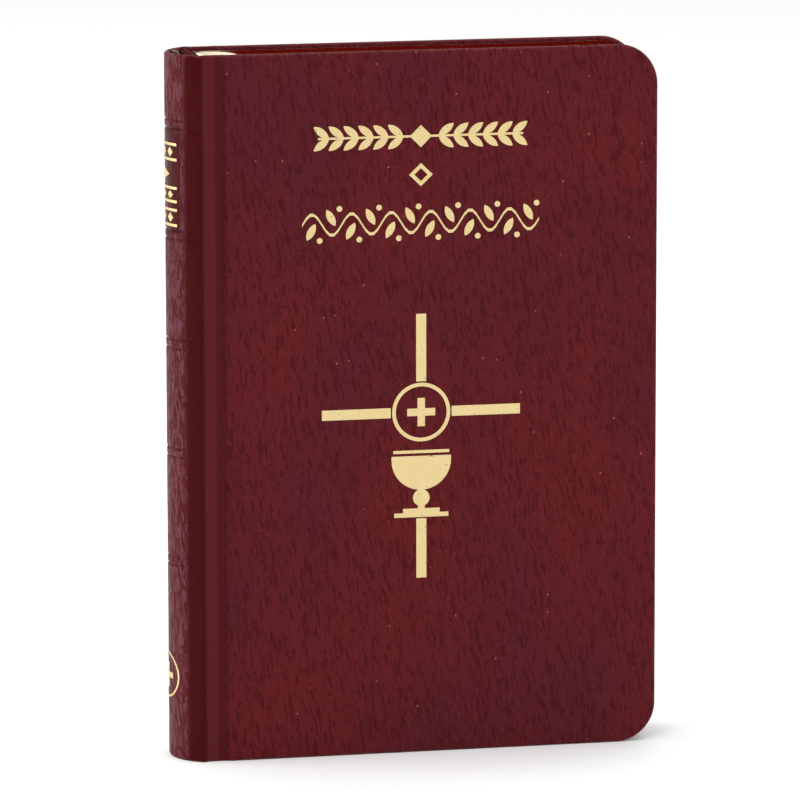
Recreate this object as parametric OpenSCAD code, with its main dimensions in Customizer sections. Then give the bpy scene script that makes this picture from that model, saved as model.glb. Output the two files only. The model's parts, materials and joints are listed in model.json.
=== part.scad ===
// Small prayer book: flexible leather covers, a rounded hollow spine and ten sewn
// sections of thin paper with gilt edges. The closed book stands on its tail, with
// the spine towards -X, the front cover towards -Y and the fore-edge towards +X.
// The origin is the bottom centre of the closed book.

/* [Covers] */
// Height of the covers from tail to head
cover_h = 158.75; // [140:0.25:180]
// Width of the closed book from spine to fore-edge
cover_w = 110; // [95:0.5:130]
// Thickness of the closed book over both covers
book_t = 19; // [17:0.5:22]
// Radius of the rounded fore-edge corners
corner_r = 9; // [5:0.5:14]
// How far the covers stand past the pages
overhang = 1; // [1:0.25:3]
// Thickness of the cover leather
leather_t = 0.45; // [0.3:0.05:0.6]
// Thickness of the boards inside the covers
board_t = 0.9; // [0.6:0.1:1.2]
// Thickness of the leather turned in over the boards, pared thin
turn_in_t = 0.35; // [0.25:0.05:0.45]
// Width of the leather turned in over the boards
turn_in_w = 12; // [8:0.5:16]

/* [Spine] */
// Depth of the rounding of the spine
spine_depth = 6; // [5:0.25:6.5]
// From the outside of the spine to the line where the covers hinge
hinge_from_spine = 8; // [7.75:0.25:8.5]
// From the outside of the spine to the edge of the boards
board_from_spine = 14; // [12.5:0.5:18]
// Thickness of the card strip inside the spine leather
inlay_t = 0.4; // [0.3:0.05:0.5]
// Distance between the pairs of tooled lines across the spine
panel_pitch = 24.5; // [20:0.5:28]

/* [Pages] */
// From the outside of the spine to the folds of the sections
back_from_spine = 5.225; // [5.2:0.025:6]
// Thickness of an endpaper
paper_t = 0.15; // [0.1:0.01:0.2]
// From the folds to the line where the leaves begin to bend
flex_from_back = 4.5; // [4:0.25:6]
// Diameter of the bead of each headband
headband_d = 0.9; // [0.6:0.1:1]

/* [Hidden] */
section_count = 10;          // sewn sections, half of them opening with each cover
section_names = [for (i = [1 : section_count]) str("section_", i)];

$fn = 64;
big = 400;                   // longer than any side of the book
eps = 0.01;                  // overlap that makes two touching solids one
foil_t = 0.05;               // gilt foil, which stands on the face of the leather
leaf_gap = 0.06;             // air between neighbouring stacks of leaves

// Positions across the width
spine_x = -cover_w / 2;
fore_x = cover_w / 2;
hinge_x = spine_x + hinge_from_spine;
board_x = spine_x + board_from_spine;
back_x = spine_x + back_from_spine;
flex_x = back_x + flex_from_back;
flyleaf_x = flex_x - 1;       // the flyleaves bend a little nearer the folds
page_x = fore_x - overhang;
strip_gap = 1.2;             // bare hinge line between spine and cover leather
flank_x = hinge_x - 0.3;     // where the spine leather ends

// Layers from the front face inwards, mirrored for the back
face_y = book_t / 2;
board_y = face_y - leather_t;
lining_y = board_y - board_t;
paste_y = lining_y - turn_in_t;
inner_y = paste_y - paper_t;
flyleaf_y = inner_y - leaf_gap;
block_y = flyleaf_y - paper_t - leaf_gap;

// Spine rounding: one arc through the outside of the spine and both shoulders
arc_r = (face_y * face_y + spine_depth * spine_depth) / (2 * spine_depth);
arc_x = spine_x + arc_r;
spine_turn_in_h = 10;        // height of the leather turned in at head and tail
inlay_half_w = 6.4;          // half width of the card strip across the spine
lining_half_w = 6.4;         // half width of the cloth and paper glued to the folds
rule_w = 0.5;                // width of a tooled line
rule_gap = 1.9;              // distance between the two lines of a pair
rule_depth = 0.12;
rule_count = 5;
lowest_rule_z = 45;

// Sections
section_pitch = 2 * block_y / section_count;
leaves_t = section_pitch - leaf_gap;
root_t = 0.38 * section_pitch;      // thickness where the leaves bend
taper_l = 5;                        // length over which the leaves gain full thickness
root_gap = 0.4;                     // room round the bending line
tail_z = overhang;
head_z = cover_h - overhang;
page_r = corner_r - overhang;
thread_d = 0.4;
station_count = 6;
station_margin = 14;         // end of the folds to the first sewing station
mull_t = 0.25;
spine_lining_t = 0.3;
mull_margin = 4;             // cloth stops short of the head and tail
band_tab_h = 9;              // height of the cloth tab below a headband bead
hinge_cloth_w = 18;

// Ornaments on the front cover
ornament_x = 0.8;
title_z = 139.6;
title_w = 46.5;
lozenge_z = 131;
vine_z = 120.4;
vine_w = 53.8;
emblem_z = 77.6;
medallion_z = 18.7;
medallion_r = 5.2;

// ---- plain building blocks -------------------------------------------------

// Outline of a leaf or board, square at the spine and round at the fore-edge
module leaf_outline(x0, x1, z0, z1, r) {
    translate([x0, z0]) square([x1 - r - x0, z1 - z0]);
    translate([x1 - r - eps, z0 + r]) square([r + eps, z1 - z0 - 2 * r]);
    for (z = [z0 + r, z1 - r]) translate([x1 - r, z]) circle(r = r);
}

// Stands a drawn outline upright between two depths
module upright(y0, y1) {
    translate([0, y1, 0]) rotate([90, 0, 0]) linear_extrude(y1 - y0) children();
}

// A sheet with rounded fore-edge corners, set in from the edge of the covers
module sheet(x0, inset, y0, y1) {
    upright(y0, y1)
        leaf_outline(x0, fore_x - inset, inset, cover_h - inset, max(corner_r - inset, 0.5));
}

module block(x0, x1, y0, y1, z0, z1) {
    translate([x0, y0, z0]) cube([x1 - x0, y1 - y0, z1 - z0]);
}

// Plan of the spine, a given depth inside its outer face
module spine_plan(depth, x_end) {
    intersection() {
        translate([arc_x, 0]) circle(r = arc_r - depth, $fn = 96);
        translate([spine_x - 5, depth - face_y])
            square([x_end - spine_x + 5, 2 * (face_y - depth)]);
    }
}

// A curved layer of the spine between two depths and two heights
module spine_layer(depth0, depth1, z0, z1, x_end) {
    translate([0, 0, z0]) linear_extrude(z1 - z0) difference() {
        spine_plan(depth0, x_end);
        spine_plan(depth1, x_end + 1);
    }
}

// ---- ornaments, drawn in the plane of the face they are pressed into ---------

module lozenge(w, h) { polygon([[-w / 2, 0], [0, -h / 2], [w / 2, 0], [0, h / 2]]); }

// A pointed leaf that starts at the origin and lies along +X
module leaf(l, w) {
    r = (l * l + w * w) / (4 * w);
    intersection() {
        translate([l / 2, r - w / 2]) circle(r = r);
        translate([l / 2, w / 2 - r]) circle(r = r);
    }
}

// A stem with pairs of leaves running out both ways from a lozenge
module sprig(w, leaf_l, pairs) {
    square([w, 0.5], center = true);
    lozenge(5, 5);
    for (side = [0, 1]) mirror([side, 0]) for (i = [0 : pairs - 1], up = [0, 1])
        mirror([0, up]) translate([4 + i * (w / 2 - 6.5) / (pairs - 1), 0])
            rotate(38) leaf(leaf_l, 1.7);
}

// A waving stem with a leaf and a berry in every bend
module vine(w, h, waves) {
    wave_l = w / waves;
    steps = 10 * waves;
    stem = [for (i = [0 : steps]) [i * w / steps - w / 2, h * sin(360 * i * waves / steps)]];
    stem_t = 0.35;
    polygon(concat(
        [for (p = stem) p + [0, stem_t]],
        [for (i = [steps : -1 : 0]) stem[i] - [0, stem_t]]));
    for (i = [0 : 2 * waves - 1]) {
        up = i % 2 == 0 ? 1 : -1;
        translate([(i + 0.5) * wave_l / 2 - w / 2, -up * 1.1]) {
            rotate(up * 62) translate([-2.6, 0]) leaf(4.2, 1.7);
            translate([1.7, -up * 2.4]) circle(d = 1.3, $fn = 24);
        }
    }
}

module greek_cross(size, arm) {
    square([size, arm], center = true);
    square([arm, size], center = true);
}

module ring(r, t) { difference() { circle(r = r); circle(r = r - t); } }

// A plain cup with a solid bowl, a knop and a stepped foot, standing on the origin
module cup() {
    translate([-6.2, 0]) square([12.4, 1]);
    translate([-4.2, 1 - eps]) square([8.4, 1]);
    translate([-0.8, 2 - 2 * eps]) square([1.6, 5]);
    translate([0, 4.4]) circle(r = 1.9);
    difference() {
        translate([0, 13]) circle(r = 6.8);
        translate([-8, 13]) square([16, 8]);
    }
    translate([-6.8, 13 - eps]) square([13.6, 0.9]);
    translate([-6.4, 14.5]) square([12.8, 0.7]);
}

// A square-ended cross with a ring at its crossing, over the cup
module emblem() {
    bar = 2.3;
    ring_r = 6.65;
    cup_z = 53.8 - emblem_z;
    ring(ring_r, 0.85);
    greek_cross(6.4, 1.7);
    for (side = [0, 1]) mirror([side, 0])
        translate([ring_r + 0.3, -bar / 2]) square([22.6 - ring_r - 0.3, bar]);
    translate([-bar / 2, ring_r + 0.3]) square([bar, 22.2 - ring_r - 0.3]);
    translate([-bar / 2, 40 - emblem_z]) square([bar, cup_z - 0.3 - 40 + emblem_z]);
    translate([0, cup_z]) cup();
}

module title_ornaments() {
    translate([ornament_x, title_z]) sprig(title_w, 4.4, 6);
    translate([ornament_x, lozenge_z]) difference() { lozenge(5.4, 5.2); lozenge(3, 2.9); }
    translate([ornament_x, vine_z]) vine(vine_w, 2.4, 6);
}

// Two bars with a row of lozenges between them, for the spine label
module label_row(w, h) {
    for (side = [-1, 1]) translate([-w / 2, side * (h / 2 - 0.3) - 0.3]) square([w, 0.6]);
    for (x = [-1 : 1]) translate([x * w / 3.4, 0]) lozenge(2.2, h - 1.8);
}

module spine_title() {
    translate([0, 137]) label_row(11, 4);
    translate([0, 132]) lozenge(6, 2.6);
    translate([0, 127.5]) label_row(11, 3.6);
    translate([0, 122.4]) label_row(11, 4);
}

module medallion() {
    ring(medallion_r, 0.45);
    greek_cross(5.6, 1.3);
}

// Wraps a drawn ornament round the outside of the spine as foil
module on_spine() {
    intersection() {
        spine_layer(-foil_t, 0, 0, cover_h, arc_x - spine_depth / 2);
        rotate([90, 0, 90]) translate([0, 0, spine_x - 2]) linear_extrude(spine_depth)
            children();
    }
}

// ---- covers -----------------------------------------------------------------

module cover_leather() {
    difference() {
        sheet(board_x, 0, -face_y, -paste_y);
        sheet(board_x - 1, leather_t, -board_y, -lining_y);
        block(board_x - 1, fore_x - turn_in_w, -lining_y - eps, -paste_y + 1,
              turn_in_w, cover_h - turn_in_w);
    }
    // the flexible strip between the board and the hinge line, turned in at its ends
    difference() {
        block(hinge_x + strip_gap, board_x + eps, -face_y, -board_y + turn_in_t, 0, cover_h);
        block(hinge_x, board_x + 1, -board_y, -board_y + 1, turn_in_w, cover_h - turn_in_w);
    }
}

module front_cover_leather() { color("#5a1f24") cover_leather(); }

module back_cover_leather() { color("#5a1f24") mirror([0, 1, 0]) cover_leather(); }

module board() { sheet(board_x, leather_t, -board_y, -lining_y); }

module front_board() { color("#b59a72") board(); }

module back_board() { color("#b59a72") mirror([0, 1, 0]) board(); }

// The half of the endpaper that is glued down, sunk between the turned-in leather
module pastedown() {
    x0 = board_x + hinge_cloth_w;
    x1 = fore_x - turn_in_w;
    difference() {
        union() {
            sheet(board_x, overhang, -paste_y, -inner_y);
            block(x0, x1, -lining_y, -inner_y, turn_in_w, cover_h - turn_in_w);
        }
        block(x0 + paper_t, x1 - paper_t, -lining_y + paper_t, -inner_y + 1,
              turn_in_w + paper_t, cover_h - turn_in_w - paper_t);
    }
}

module front_pastedown() { color("#efe6d2") pastedown(); }

module back_pastedown() { color("#efe6d2") mirror([0, 1, 0]) pastedown(); }

module hinge_cloth() {
    block(board_x, board_x + hinge_cloth_w, -lining_y, -paste_y, turn_in_w, cover_h - turn_in_w);
}

module front_hinge_cloth() { color("#e4dcc6") hinge_cloth(); }

module back_hinge_cloth() { color("#e4dcc6") mirror([0, 1, 0]) hinge_cloth(); }

module front_title_foil() {
    color("#d8b356") upright(-face_y - foil_t, -face_y) title_ornaments();
}

module front_emblem_foil() {
    color("#d8b356") upright(-face_y - foil_t, -face_y)
        translate([ornament_x, emblem_z]) emblem();
}

// ---- spine ------------------------------------------------------------------

module inlay_form() {
    intersection() {
        spine_layer(leather_t, leather_t + inlay_t, leather_t, cover_h - leather_t, flank_x);
        block(spine_x - 1, flank_x, -inlay_half_w, inlay_half_w, 0, cover_h);
    }
}

module spine_leather() {
    turned_t = leather_t + inlay_t + turn_in_t;
    color("#4f1b20") difference() {
        union() {
            spine_layer(0, leather_t, 0, cover_h, flank_x);
            for (z = [0, cover_h - spine_turn_in_h])
                spine_layer(0, turned_t, z, z + spine_turn_in_h, flank_x);
        }
        inlay_form();
        for (i = [0 : rule_count - 1], side = [0, 1]) {
            z = lowest_rule_z + i * panel_pitch + side * rule_gap - rule_gap / 2;
            spine_layer(-1, rule_depth, z, z + rule_w, flank_x + 1);
        }
    }
}

module spine_inlay() { color("#cbb58c") inlay_form(); }

module spine_title_foil() { color("#d8b356") on_spine() spine_title(); }

module spine_medallion_foil() {
    color("#d8b356") on_spine() translate([0, medallion_z]) medallion();
}

module mull() {
    color("#e4dcc6") block(back_x - mull_t, back_x, -lining_half_w, lining_half_w,
                           tail_z + mull_margin, head_z - mull_margin);
}

module spine_lining() {
    color("#c9a877") block(back_x - mull_t - spine_lining_t, back_x - mull_t,
                           -lining_half_w, lining_half_w,
                           tail_z + mull_margin + band_tab_h,
                           head_z - mull_margin - band_tab_h);
}

// A beaded band across the end of the folds, with a cloth tab glued to the mull
module band() {
    bead_z = head_z + headband_d / 2;
    bead_x = back_x + headband_d / 2;
    translate([bead_x, lining_half_w, bead_z]) rotate([90, 0, 0])
        cylinder(d = headband_d, h = 2 * lining_half_w);
    difference() {
        block(back_x - mull_t - spine_lining_t, bead_x, -lining_half_w, lining_half_w,
              head_z - mull_margin - band_tab_h, bead_z);
        block(back_x, bead_x + 1, -face_y, face_y, 0, head_z);
        block(back_x - mull_t, bead_x + 1, -face_y, face_y, 0, head_z - mull_margin);
    }
}

module headband() { color("#e9d9a6") band(); }

module tailband() {
    color("#e9d9a6") translate([0, 0, cover_h]) mirror([0, 0, 1]) band();
}

function station_z(i) =
    tail_z + station_margin
    + i * (head_z - tail_z - 2 * station_margin) / (station_count - 1);

// Thread lying in the saw kerfs across the backs of the sections
module sewing_thread() {
    color("#f2ead8") for (i = [0 : station_count - 1])
        translate([back_x + thread_d / 2, lining_half_w, station_z(i)]) rotate([90, 0, 0])
            cylinder(d = thread_d, h = 2 * lining_half_w, $fn = 24);
}

// ---- pages ------------------------------------------------------------------

function section_y(i) = -block_y + (i - 0.5) * section_pitch;

// The folded, sewn and glued back of each section, which stays with the spine
module section_folds() {
    fold_t = section_pitch - 0.04;
    color("#e8dcc0") difference() {
        for (i = [1 : section_count]) translate([0, section_y(i), tail_z])
            linear_extrude(head_z - tail_z) {
                translate([back_x + fold_t / 2, 0]) circle(d = fold_t, $fn = 32);
                translate([back_x + fold_t / 2, -fold_t / 2])
                    square([flex_x - root_gap - back_x - fold_t / 2, fold_t]);
            }
        for (i = [0 : station_count - 1])
            block(back_x - 1, back_x + thread_d + 0.05, -face_y, face_y,
                  station_z(i) - thread_d / 2 - 0.02, station_z(i) + thread_d / 2 + 0.02);
    }
}

module page_outline(x0) { leaf_outline(x0, page_x, tail_z, head_z, page_r); }

// The free leaves of one section: thin where they bend, full thickness beyond
module section(i) {
    color(i % 2 == 0 ? "#f0e3c4" : "#ead9b4") intersection() {
        translate([0, section_y(i), 0]) linear_extrude(cover_h) {
            translate([flex_x, 0]) circle(d = root_t, $fn = 32);
            polygon([
                [flex_x, -root_t / 2], [flex_x + taper_l, -leaves_t / 2], [big, -leaves_t / 2],
                [big, leaves_t / 2], [flex_x + taper_l, leaves_t / 2], [flex_x, root_t / 2]]);
        }
        upright(-face_y, face_y) page_outline(flex_x - root_t);
    }
}

module flyleaf() { upright(-flyleaf_y, -flyleaf_y + paper_t) page_outline(flyleaf_x); }

module front_flyleaf() { color("#f3ead6") flyleaf(); }

module back_flyleaf() { color("#f3ead6") mirror([0, 1, 0]) flyleaf(); }

// The glued margins of the two flyleaves, on the outermost folds
module endpaper_tips() {
    color("#f3ead6") for (side = [0, 1]) mirror([0, side, 0])
        block(back_x + section_pitch / 2, flyleaf_x - paper_t, -flyleaf_y, -flyleaf_y + paper_t,
              tail_z, head_z);
}

front_cover_leather();
front_board();
front_pastedown();
front_hinge_cloth();
front_title_foil();
front_emblem_foil();
back_cover_leather();
back_board();
back_pastedown();
back_hinge_cloth();
spine_leather();
spine_inlay();
spine_title_foil();
spine_medallion_foil();
mull();
spine_lining();
headband();
tailband();
sewing_thread();
section_folds();
endpaper_tips();
front_flyleaf();
back_flyleaf();
for (i = [1 : section_count])
    section(i);
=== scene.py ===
import json
import math
from collections import namedtuple

import bpy
from bpy.props import FloatProperty, FloatVectorProperty, IntProperty, PointerProperty
from mathutils import Matrix, Vector, noise


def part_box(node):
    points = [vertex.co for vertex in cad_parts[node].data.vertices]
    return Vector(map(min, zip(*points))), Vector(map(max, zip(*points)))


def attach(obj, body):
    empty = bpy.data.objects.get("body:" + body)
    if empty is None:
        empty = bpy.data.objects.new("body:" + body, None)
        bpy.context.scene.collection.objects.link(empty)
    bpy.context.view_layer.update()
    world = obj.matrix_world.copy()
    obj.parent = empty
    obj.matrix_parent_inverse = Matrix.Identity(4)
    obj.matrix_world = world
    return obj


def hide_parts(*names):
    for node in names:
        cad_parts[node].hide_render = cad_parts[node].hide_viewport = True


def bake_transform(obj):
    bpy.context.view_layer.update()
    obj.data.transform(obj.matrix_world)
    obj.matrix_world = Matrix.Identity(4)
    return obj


bl_info = {
    "name": "Leather Prayer Book",
    "version": (1, 0, 0),
    "blender": (4, 5, 0),
    "location": "3D View > Sidebar > Prayer Book",
    "description": "Limp leather covers, a tooled rounded spine and sewn sections with gilt edges",
    "category": "Add Mesh",
}

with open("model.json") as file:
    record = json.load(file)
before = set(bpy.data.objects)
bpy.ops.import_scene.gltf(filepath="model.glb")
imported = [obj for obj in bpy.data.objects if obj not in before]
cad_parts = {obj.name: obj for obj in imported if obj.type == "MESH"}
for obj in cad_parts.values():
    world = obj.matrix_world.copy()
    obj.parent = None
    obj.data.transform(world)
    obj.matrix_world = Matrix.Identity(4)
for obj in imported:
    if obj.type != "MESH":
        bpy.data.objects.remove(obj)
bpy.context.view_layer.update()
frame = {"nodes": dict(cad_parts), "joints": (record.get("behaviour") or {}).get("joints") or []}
MM = 0.001

# Places on the closed book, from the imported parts. The front faces -Y, the spine -X.
COVER_LOW, COVER_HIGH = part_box("front_cover_leather")
PAGES_LOW, PAGES_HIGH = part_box("section_1")
FACE = -COVER_LOW.y                 # outside of a cover, measured from the middle
TURN_IN_FACE = -COVER_HIGH.y        # inside of the leather turned in over a board
FORE = COVER_HIGH.x
HEAD = COVER_HIGH.z
SPINE_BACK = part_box("spine_leather")[0].x
BOARD_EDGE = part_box("front_board")[0].x
SECTION_COUNT = sum(1 for name in frame["nodes"] if name.startswith("section_")) - 1
JOINTS = {joint["name"]: Vector(joint["pos_m"]) for joint in frame["joints"]}
HINGE_X = JOINTS["front_cover_hinge"].x
BEND_X = JOINTS["section_1_fold"].x

# The rounded spine: one arc between the shoulders, eased into the covers by a fillet
SPINE_DEPTH = 6 * MM
ARC_RADIUS = (FACE ** 2 + SPINE_DEPTH ** 2) / (2 * SPINE_DEPTH)
ARC_CENTRE = SPINE_BACK + ARC_RADIUS
FILLET = 3 * MM
FILLET_X = ARC_CENTRE - math.sqrt((ARC_RADIUS - FILLET) ** 2 - (FACE - FILLET) ** 2)
SEAM_X = FILLET_X                   # where the spine skin hands over to the cover skins
EDGE_STEPS = 8                      # steps of leather round an edge
TURN_IN_SPACING = 3 * MM            # distance between the points of the turned-in leather
SPINE_WALL = 1.15 * MM              # thickness of the case at its spine, leather and card
JOINT_WALL = 0.75 * MM              # and in the bare leather of the joints
BOARD_WALL = FACE - TURN_IN_FACE - 0.03 * MM    # and at the boards
MULL_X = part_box("mull")[0].x        # where the frayed gauze comes from
FRAY_RADIUS = 0.11 * MM
FOLD_SHARE = 0.40                   # the leaves of a section at their fold, as a share of
FAN_LENGTH = 6 * MM                 # the thickness that they fan out to within this length
JOINT_PAPER = 0.1 * MM              # thickness of the endpaper across the joints
TRIM_Z, TRIM_X = 6 * MM, 10 * MM    # how far in from the cover a trimmed face can lie


# ---- Sizes and colours a user would change ----

def length(name, description, default):
    return FloatProperty(name=name, description=description, default=default, unit="LENGTH",
                         precision=5)


def colour(name, description, default):
    return FloatVectorProperty(name=name, description=description, default=default, size=4,
                               subtype="COLOR", min=0, max=1)


class LeatherSettings(bpy.types.PropertyGroup):
    thickness: length("Skin", "Thickness of the leather skin", 0.35 * MM)
    sink: length("Sink", "How far the leather lies under the gilt foil", 0.03 * MM)
    spacing: length("Spacing", "Distance between the points of the skin", 1.25 * MM)
    corner: length("Corner", "Radius of the fore-edge corners", 9 * MM)
    edge: length("Edge", "How far in from the edge its rounding begins", 0.75 * MM)
    turn_in: length("Turn-in", "Width of the leather turned in over the boards", 12 * MM)
    spine_turn_in: length("Spine turn-in", "Height of the leather turned in at the spine", 9 * MM)
    groove: length("Joint groove", "Depth of the groove between spine and board", 0.6 * MM)
    rule_depth: length("Tooled line", "Depth of a tooled line across the spine", 0.3 * MM)
    rule_width: length("Line width", "Width of a tooled line", 0.26 * MM)
    rule_gap: length("Line pair", "Distance between the two lines of a pair", 1.9 * MM)
    rule_lowest: length("Lowest pair", "Height of the lowest pair of tooled lines", 45 * MM)
    rule_pitch: length("Panel", "Distance between the pairs of tooled lines", 24.5 * MM)
    rule_count: IntProperty(name="Pairs", description="Pairs of tooled lines", default=5, min=0)
    grain: length("Grain relief", "Height of the wrinkles of the grain", 0.22 * MM)
    red: colour("Red", "The redder areas of the leather", (0.106, 0.0088, 0.0108, 1))
    purple: colour("Purple", "The browner, more worn areas", (0.082, 0.0086, 0.0140, 1))
    valley: colour("Valleys", "The dark lines between the wrinkles", (0.038, 0.0018, 0.0024, 1))
    # The pale edge colour is partly real wear and partly a painted highlight where the rounded
    # edges catch the light
    worn: colour("Worn edge", "Leather rubbed pale along its edges", (0.20, 0.045, 0.042, 1))
    speck: colour("Speck", "Small pale marks", (0.42, 0.17, 0.16, 1))
    # Painted highlight: pale crests of the grain along the spine, standing for light caught on the
    # relief rather than rubbing
    spine_crest_highlight: colour("Handled", "Crests of the grain rubbed pale along the spine",
                    (0.135, 0.050, 0.062, 1))
    # The shoulders' dark colour is partly smooth burnished leather and partly painted shade where
    # they turn away from the light
    burnished: colour("Burnished", "Smooth dark leather of the shoulders",
                      (0.040, 0.0006, 0.0005, 1))
    pressed: colour("Pressed", "Smooth leather in the bottom of the joint",
                    (0.077, 0.0082, 0.0102, 1))


class PageSettings(bpy.types.PropertyGroup):
    leaves: IntProperty(name="Leaves", description="Leaves modelled in a section", default=7, min=1)
    leaf_share: FloatProperty(name="Leaf share", description="Share of its space a leaf fills",
                              default=0.995, min=0.1, max=1, subtype="FACTOR")
    paper: colour("Paper", "Thin cream paper", (0.84, 0.76, 0.58, 1))
    endpaper: colour("Endpaper", "Smooth cream endpaper", (0.86, 0.80, 0.66, 1))
    gilt: colour("Gilt", "Gold on the edges of the leaves", (0.55, 0.27, 0.09, 1))
    red_edge: colour("Red under gold", "Red colour under the gold edges",
                     (0.072, 0.0025, 0.0012, 1))


class TrimSettings(bpy.types.PropertyGroup):
    foil: colour("Foil", "Hot-stamped gilt foil", (0.70, 0.56, 0.28, 1))
    board: colour("Board", "Grey-brown board", (0.42, 0.31, 0.19, 1))
    kraft: colour("Kraft", "Kraft paper and card of the spine", (0.56, 0.40, 0.23, 1))
    gauze: colour("Gauze", "Starched gauze", (0.80, 0.74, 0.60, 1))
    silk: colour("Silk", "Burgundy silk of the headbands", (0.055, 0.003, 0.003, 1))
    stripe: colour("Stripe", "Second colour of the headbands", (0.030, 0.0015, 0.0015, 1))
    thread: colour("Thread", "Waxed linen thread", (0.86, 0.80, 0.66, 1))
    wraps: IntProperty(name="Wraps", description="Wraps of silk along a headband", default=26)


class StageSettings(bpy.types.PropertyGroup):
    focal: FloatProperty(name="Lens", description="Focal length on a 36 mm sensor", default=294.3)
    place: FloatVectorProperty(name="Camera", description="Where the camera stands", size=3,
                               default=(-0.30843, -1.41266, 0.32644), subtype="TRANSLATION")
    yaw: FloatProperty(name="Yaw", description="Turn of the camera to the right of +Y",
                       default=math.radians(12.24), subtype="ANGLE")
    pitch: FloatProperty(name="Pitch", description="How far the camera looks down",
                         default=math.radians(9.72), subtype="ANGLE")
    roll: FloatProperty(name="Roll", description="Tilt of the camera about its own line of sight",
                        default=math.radians(0.10), subtype="ANGLE")
    floor: colour("Floor", "Plain pale floor", (0.92, 0.92, 0.92, 1))
    sky: FloatProperty(name="Sky", description="Strength of the even light all round", default=0.80)


# ---- Modelling helpers ----

def deselect_all():
    bpy.ops.object.select_all(action="DESELECT")


def pick(piece):
    deselect_all()
    piece.select_set(True)
    bpy.context.view_layer.objects.active = piece


def edit(piece, *actions):
    """Runs edit-mode actions on what is selected in the piece's mesh."""
    pick(piece)
    bpy.ops.object.mode_set(mode="EDIT")
    for action in actions:
        action()
    bpy.ops.object.mode_set(mode="OBJECT")


def edit_whole(piece, *actions):
    edit(piece, lambda: bpy.ops.mesh.select_all(action="SELECT"), *actions)


def flip(piece):
    edit_whole(piece, lambda: bpy.ops.mesh.flip_normals())


def face_out(piece):
    edit_whole(piece, lambda: bpy.ops.mesh.normals_make_consistent(inside=False))


def name_piece(name):
    piece = bpy.context.object
    piece.name = name
    piece.data.name = name
    return piece


def apply_modifier(piece, kind, **settings):
    pick(piece)
    modifier = piece.modifiers.new(kind.title(), kind)
    for key, value in settings.items():
        setattr(modifier, key, value)
    bpy.ops.object.modifier_apply(modifier=modifier.name)


def join(pieces, name):
    deselect_all()
    for piece in pieces:
        piece.select_set(True)
    bpy.context.view_layer.objects.active = pieces[0]
    bpy.ops.object.join()
    return name_piece(name)


def steps(start, *stretches):
    """Numbers from start through each (end, spacing) in turn, in even steps."""
    values = [start]
    for end, spacing in stretches:
        first = values[-1]
        count = max(1, round(abs(end - first) / spacing))
        values += [first + (end - first) * i / count for i in range(1, count + 1)]
    return values


def smoothstep(low, high, value):
    t = min(1, max(0, (value - low) / (high - low)))
    return t * t * (3 - 2 * t)


def grid_sheet(name, columns, rows, place):
    """A grid with a point at place(column, row) for each of the given columns and rows."""
    deselect_all()
    bpy.ops.mesh.primitive_grid_add(x_subdivisions=len(columns) - 1,
                                    y_subdivisions=len(rows) - 1, size=1)
    piece = name_piece(name)
    for vertex in piece.data.vertices:
        column = round((vertex.co.x + 0.5) * (len(columns) - 1))
        row = round((vertex.co.y + 0.5) * (len(rows) - 1))
        vertex.co = place(columns[column], rows[row])
    return piece


def remember(piece, attribute, value):
    """Stores value(point) on every point of the piece, for a later step or a material."""
    kind = "FLOAT_VECTOR" if isinstance(value(piece.data.vertices[0].co), Vector) else "FLOAT"
    layer = piece.data.attributes.get(attribute)
    if layer is None:
        layer = piece.data.attributes.new(attribute, kind, "POINT")
    key = "vector" if kind == "FLOAT_VECTOR" else "value"
    for vertex in piece.data.vertices:
        setattr(layer.data[vertex.index], key, value(vertex.co))


def select_open_edges(piece, wanted):
    """Selects the open edges of a sheet whose middle is wanted."""
    mesh = piece.data
    faces = {}
    for polygon in mesh.polygons:
        polygon.select = False
        for key in polygon.edge_keys:
            faces[key] = faces.get(key, 0) + 1
    for vertex in mesh.vertices:
        vertex.select = False
    for edge in mesh.edges:
        ends = [mesh.vertices[i] for i in edge.vertices]
        edge.select = faces.get(edge.key) == 1 and wanted((ends[0].co + ends[1].co) / 2)
        if edge.select:
            ends[0].select = ends[1].select = True


def wrap_edge(piece, wanted, rings, place):
    """Extrudes the open edges of a sheet once for each ring, to place(point on the edge, ring)."""
    remember(piece, "edge_point", lambda co: co.copy())
    remember(piece, "wear", lambda co: 0.0)
    select_open_edges(piece, wanted)
    bpy.context.tool_settings.mesh_select_mode = (False, True, False)
    for ring in rings:
        edit(piece, lambda: bpy.ops.mesh.extrude_region_move())
        mesh = piece.data
        for vertex in mesh.vertices:
            if vertex.select:
                start = mesh.attributes["edge_point"].data[vertex.index].vector
                vertex.co = place(Vector(start), ring)
                mesh.attributes["wear"].data[vertex.index].value = ring.wear
    bpy.context.tool_settings.mesh_select_mode = (True, False, False)
    mesh.attributes.remove(mesh.attributes["edge_point"])


# One step of leather round an edge: how far in, how far through, and how pale from wear and a
# painted highlight
Ring = namedtuple("Ring", "inset through wear", defaults=(0.0,))


def edge_rings(edge, turn_in):
    """Half an ellipse round the edge, then flat along the inside."""
    rings = []
    for i in range(1, EDGE_STEPS + 1):
        turn = math.pi * i / EDGE_STEPS
        wear = max(0.0, math.sin(turn)) ** 2
        rings.append(Ring(edge * (1 - math.sin(turn)), (1 - math.cos(turn)) / 2, wear))
    for inset in steps(edge, (turn_in, TURN_IN_SPACING))[1:]:
        rings.append(Ring(inset, 1.0))
    return rings


def finish_mesh(piece, angle=50):
    pick(piece)
    bpy.ops.object.shade_smooth_by_angle(angle=math.radians(angle))
    remember(piece, "rest", lambda co: co.copy())


def paint(piece, slot, *materials):
    piece.data.materials.clear()
    for material in materials:
        piece.data.materials.append(material)


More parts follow.
